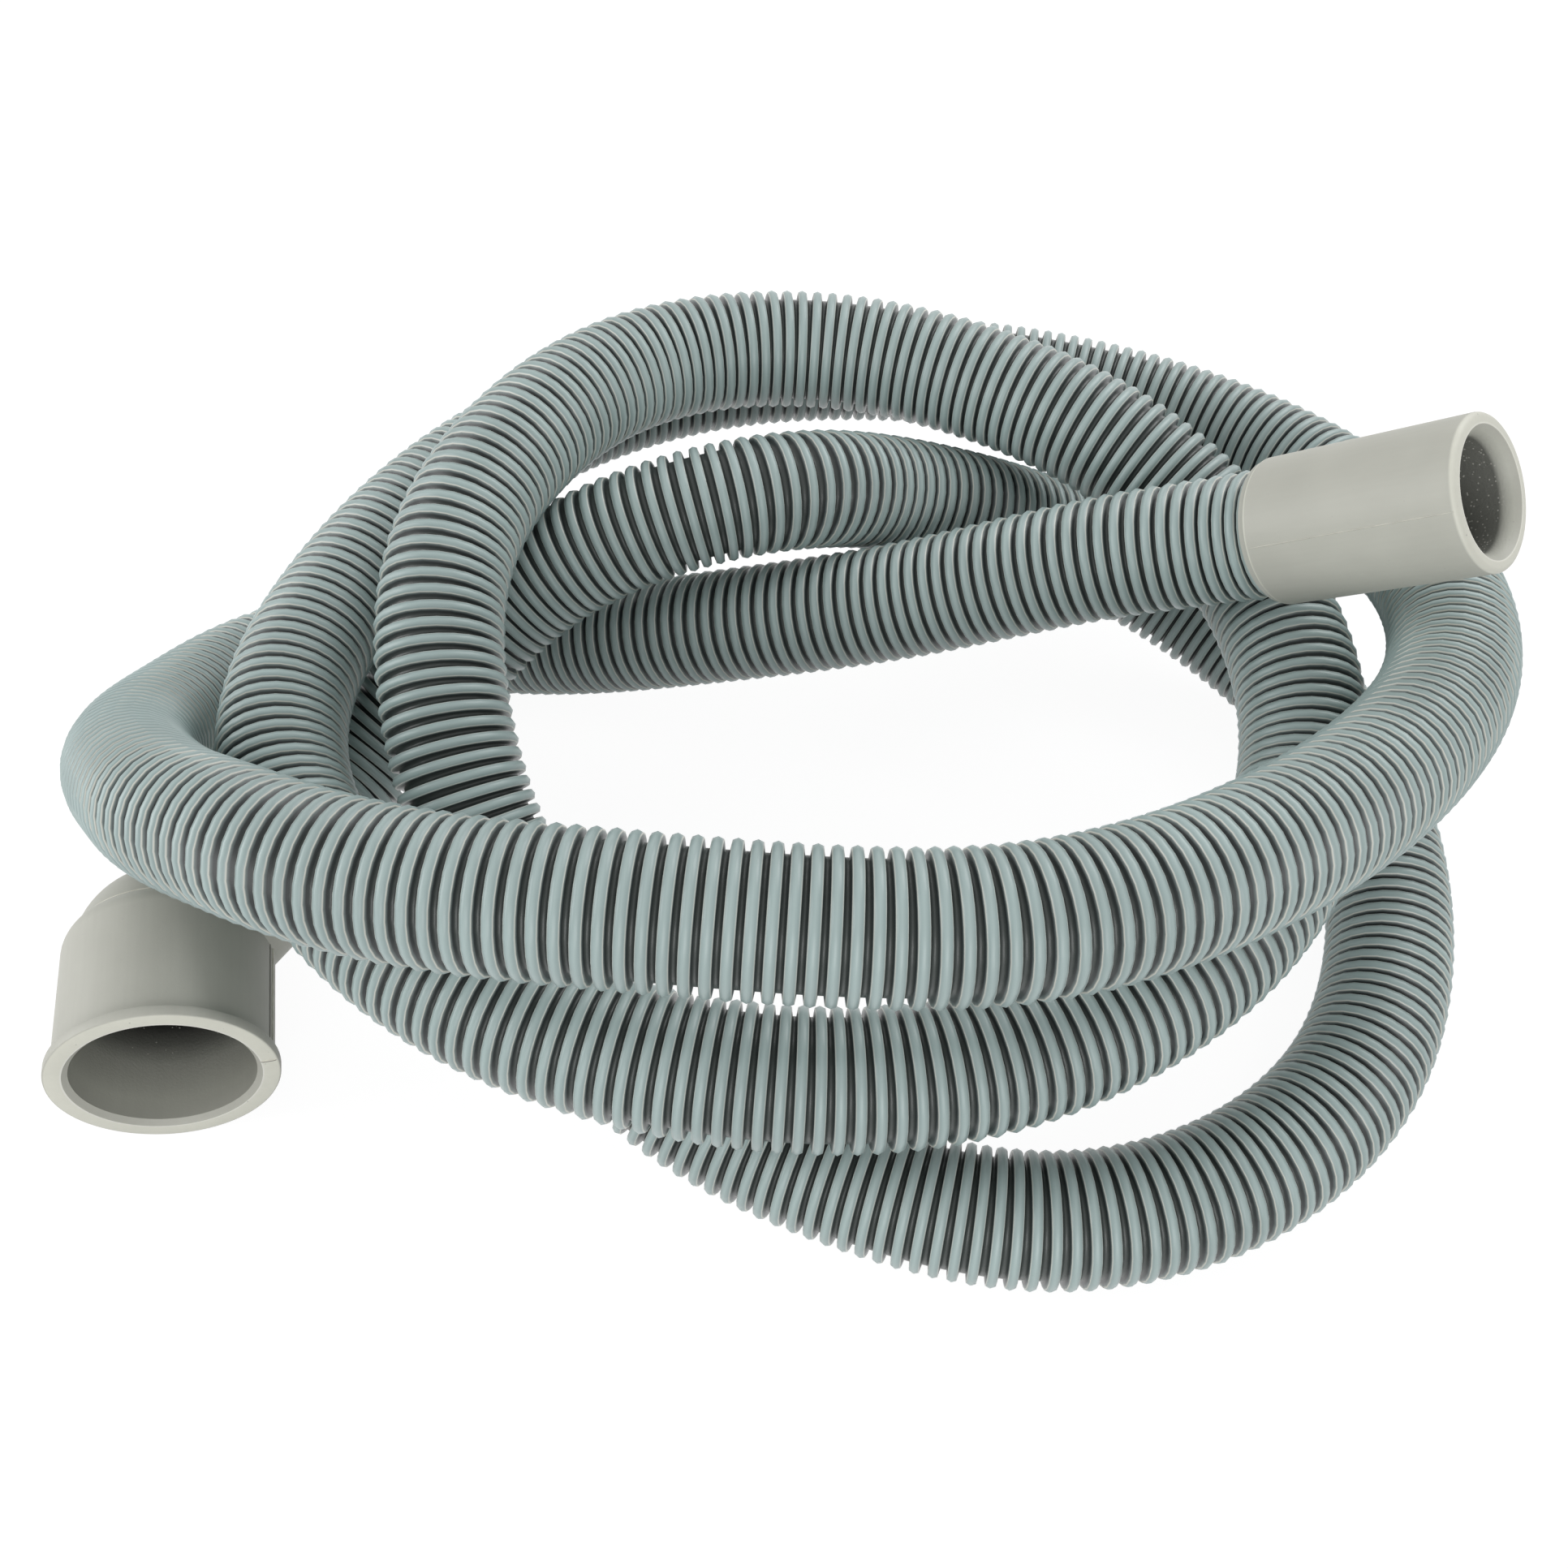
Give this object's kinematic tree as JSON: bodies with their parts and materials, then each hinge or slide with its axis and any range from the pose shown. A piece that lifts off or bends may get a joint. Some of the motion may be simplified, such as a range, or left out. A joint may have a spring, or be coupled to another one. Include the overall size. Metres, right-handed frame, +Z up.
{
  "type": "dishwasher drain hose",
  "caption": "Corrugated drain hose lying in a loose coil, with a straight push-on cuff at one end and a wide elbow cuff at the other.",
  "frame": {"origin": "on the floor under the middle of the coil, the bottom centre of the bounding box", "axes": "+X to the right along the coil's longest side, +Y away from the elbow cuff's mouth, +Z up"},
  "size_m": [0.2538, 0.1979, 0.1037],
  "materials": {
    "hose_grey": "semi-matt blown polypropylene, blue-grey",
    "cuff_grey": "matt moulded rubber, warm light grey"
  },
  "bodies": {
    "root": {"corrugated_hose_1": "hose_grey", "corrugated_hose_2": "hose_grey", "corrugated_hose_3": "hose_grey", "corrugated_hose_4": "hose_grey", "straight_cuff": "cuff_grey", "elbow_cuff": "cuff_grey"}
  },
  "joints": []
}
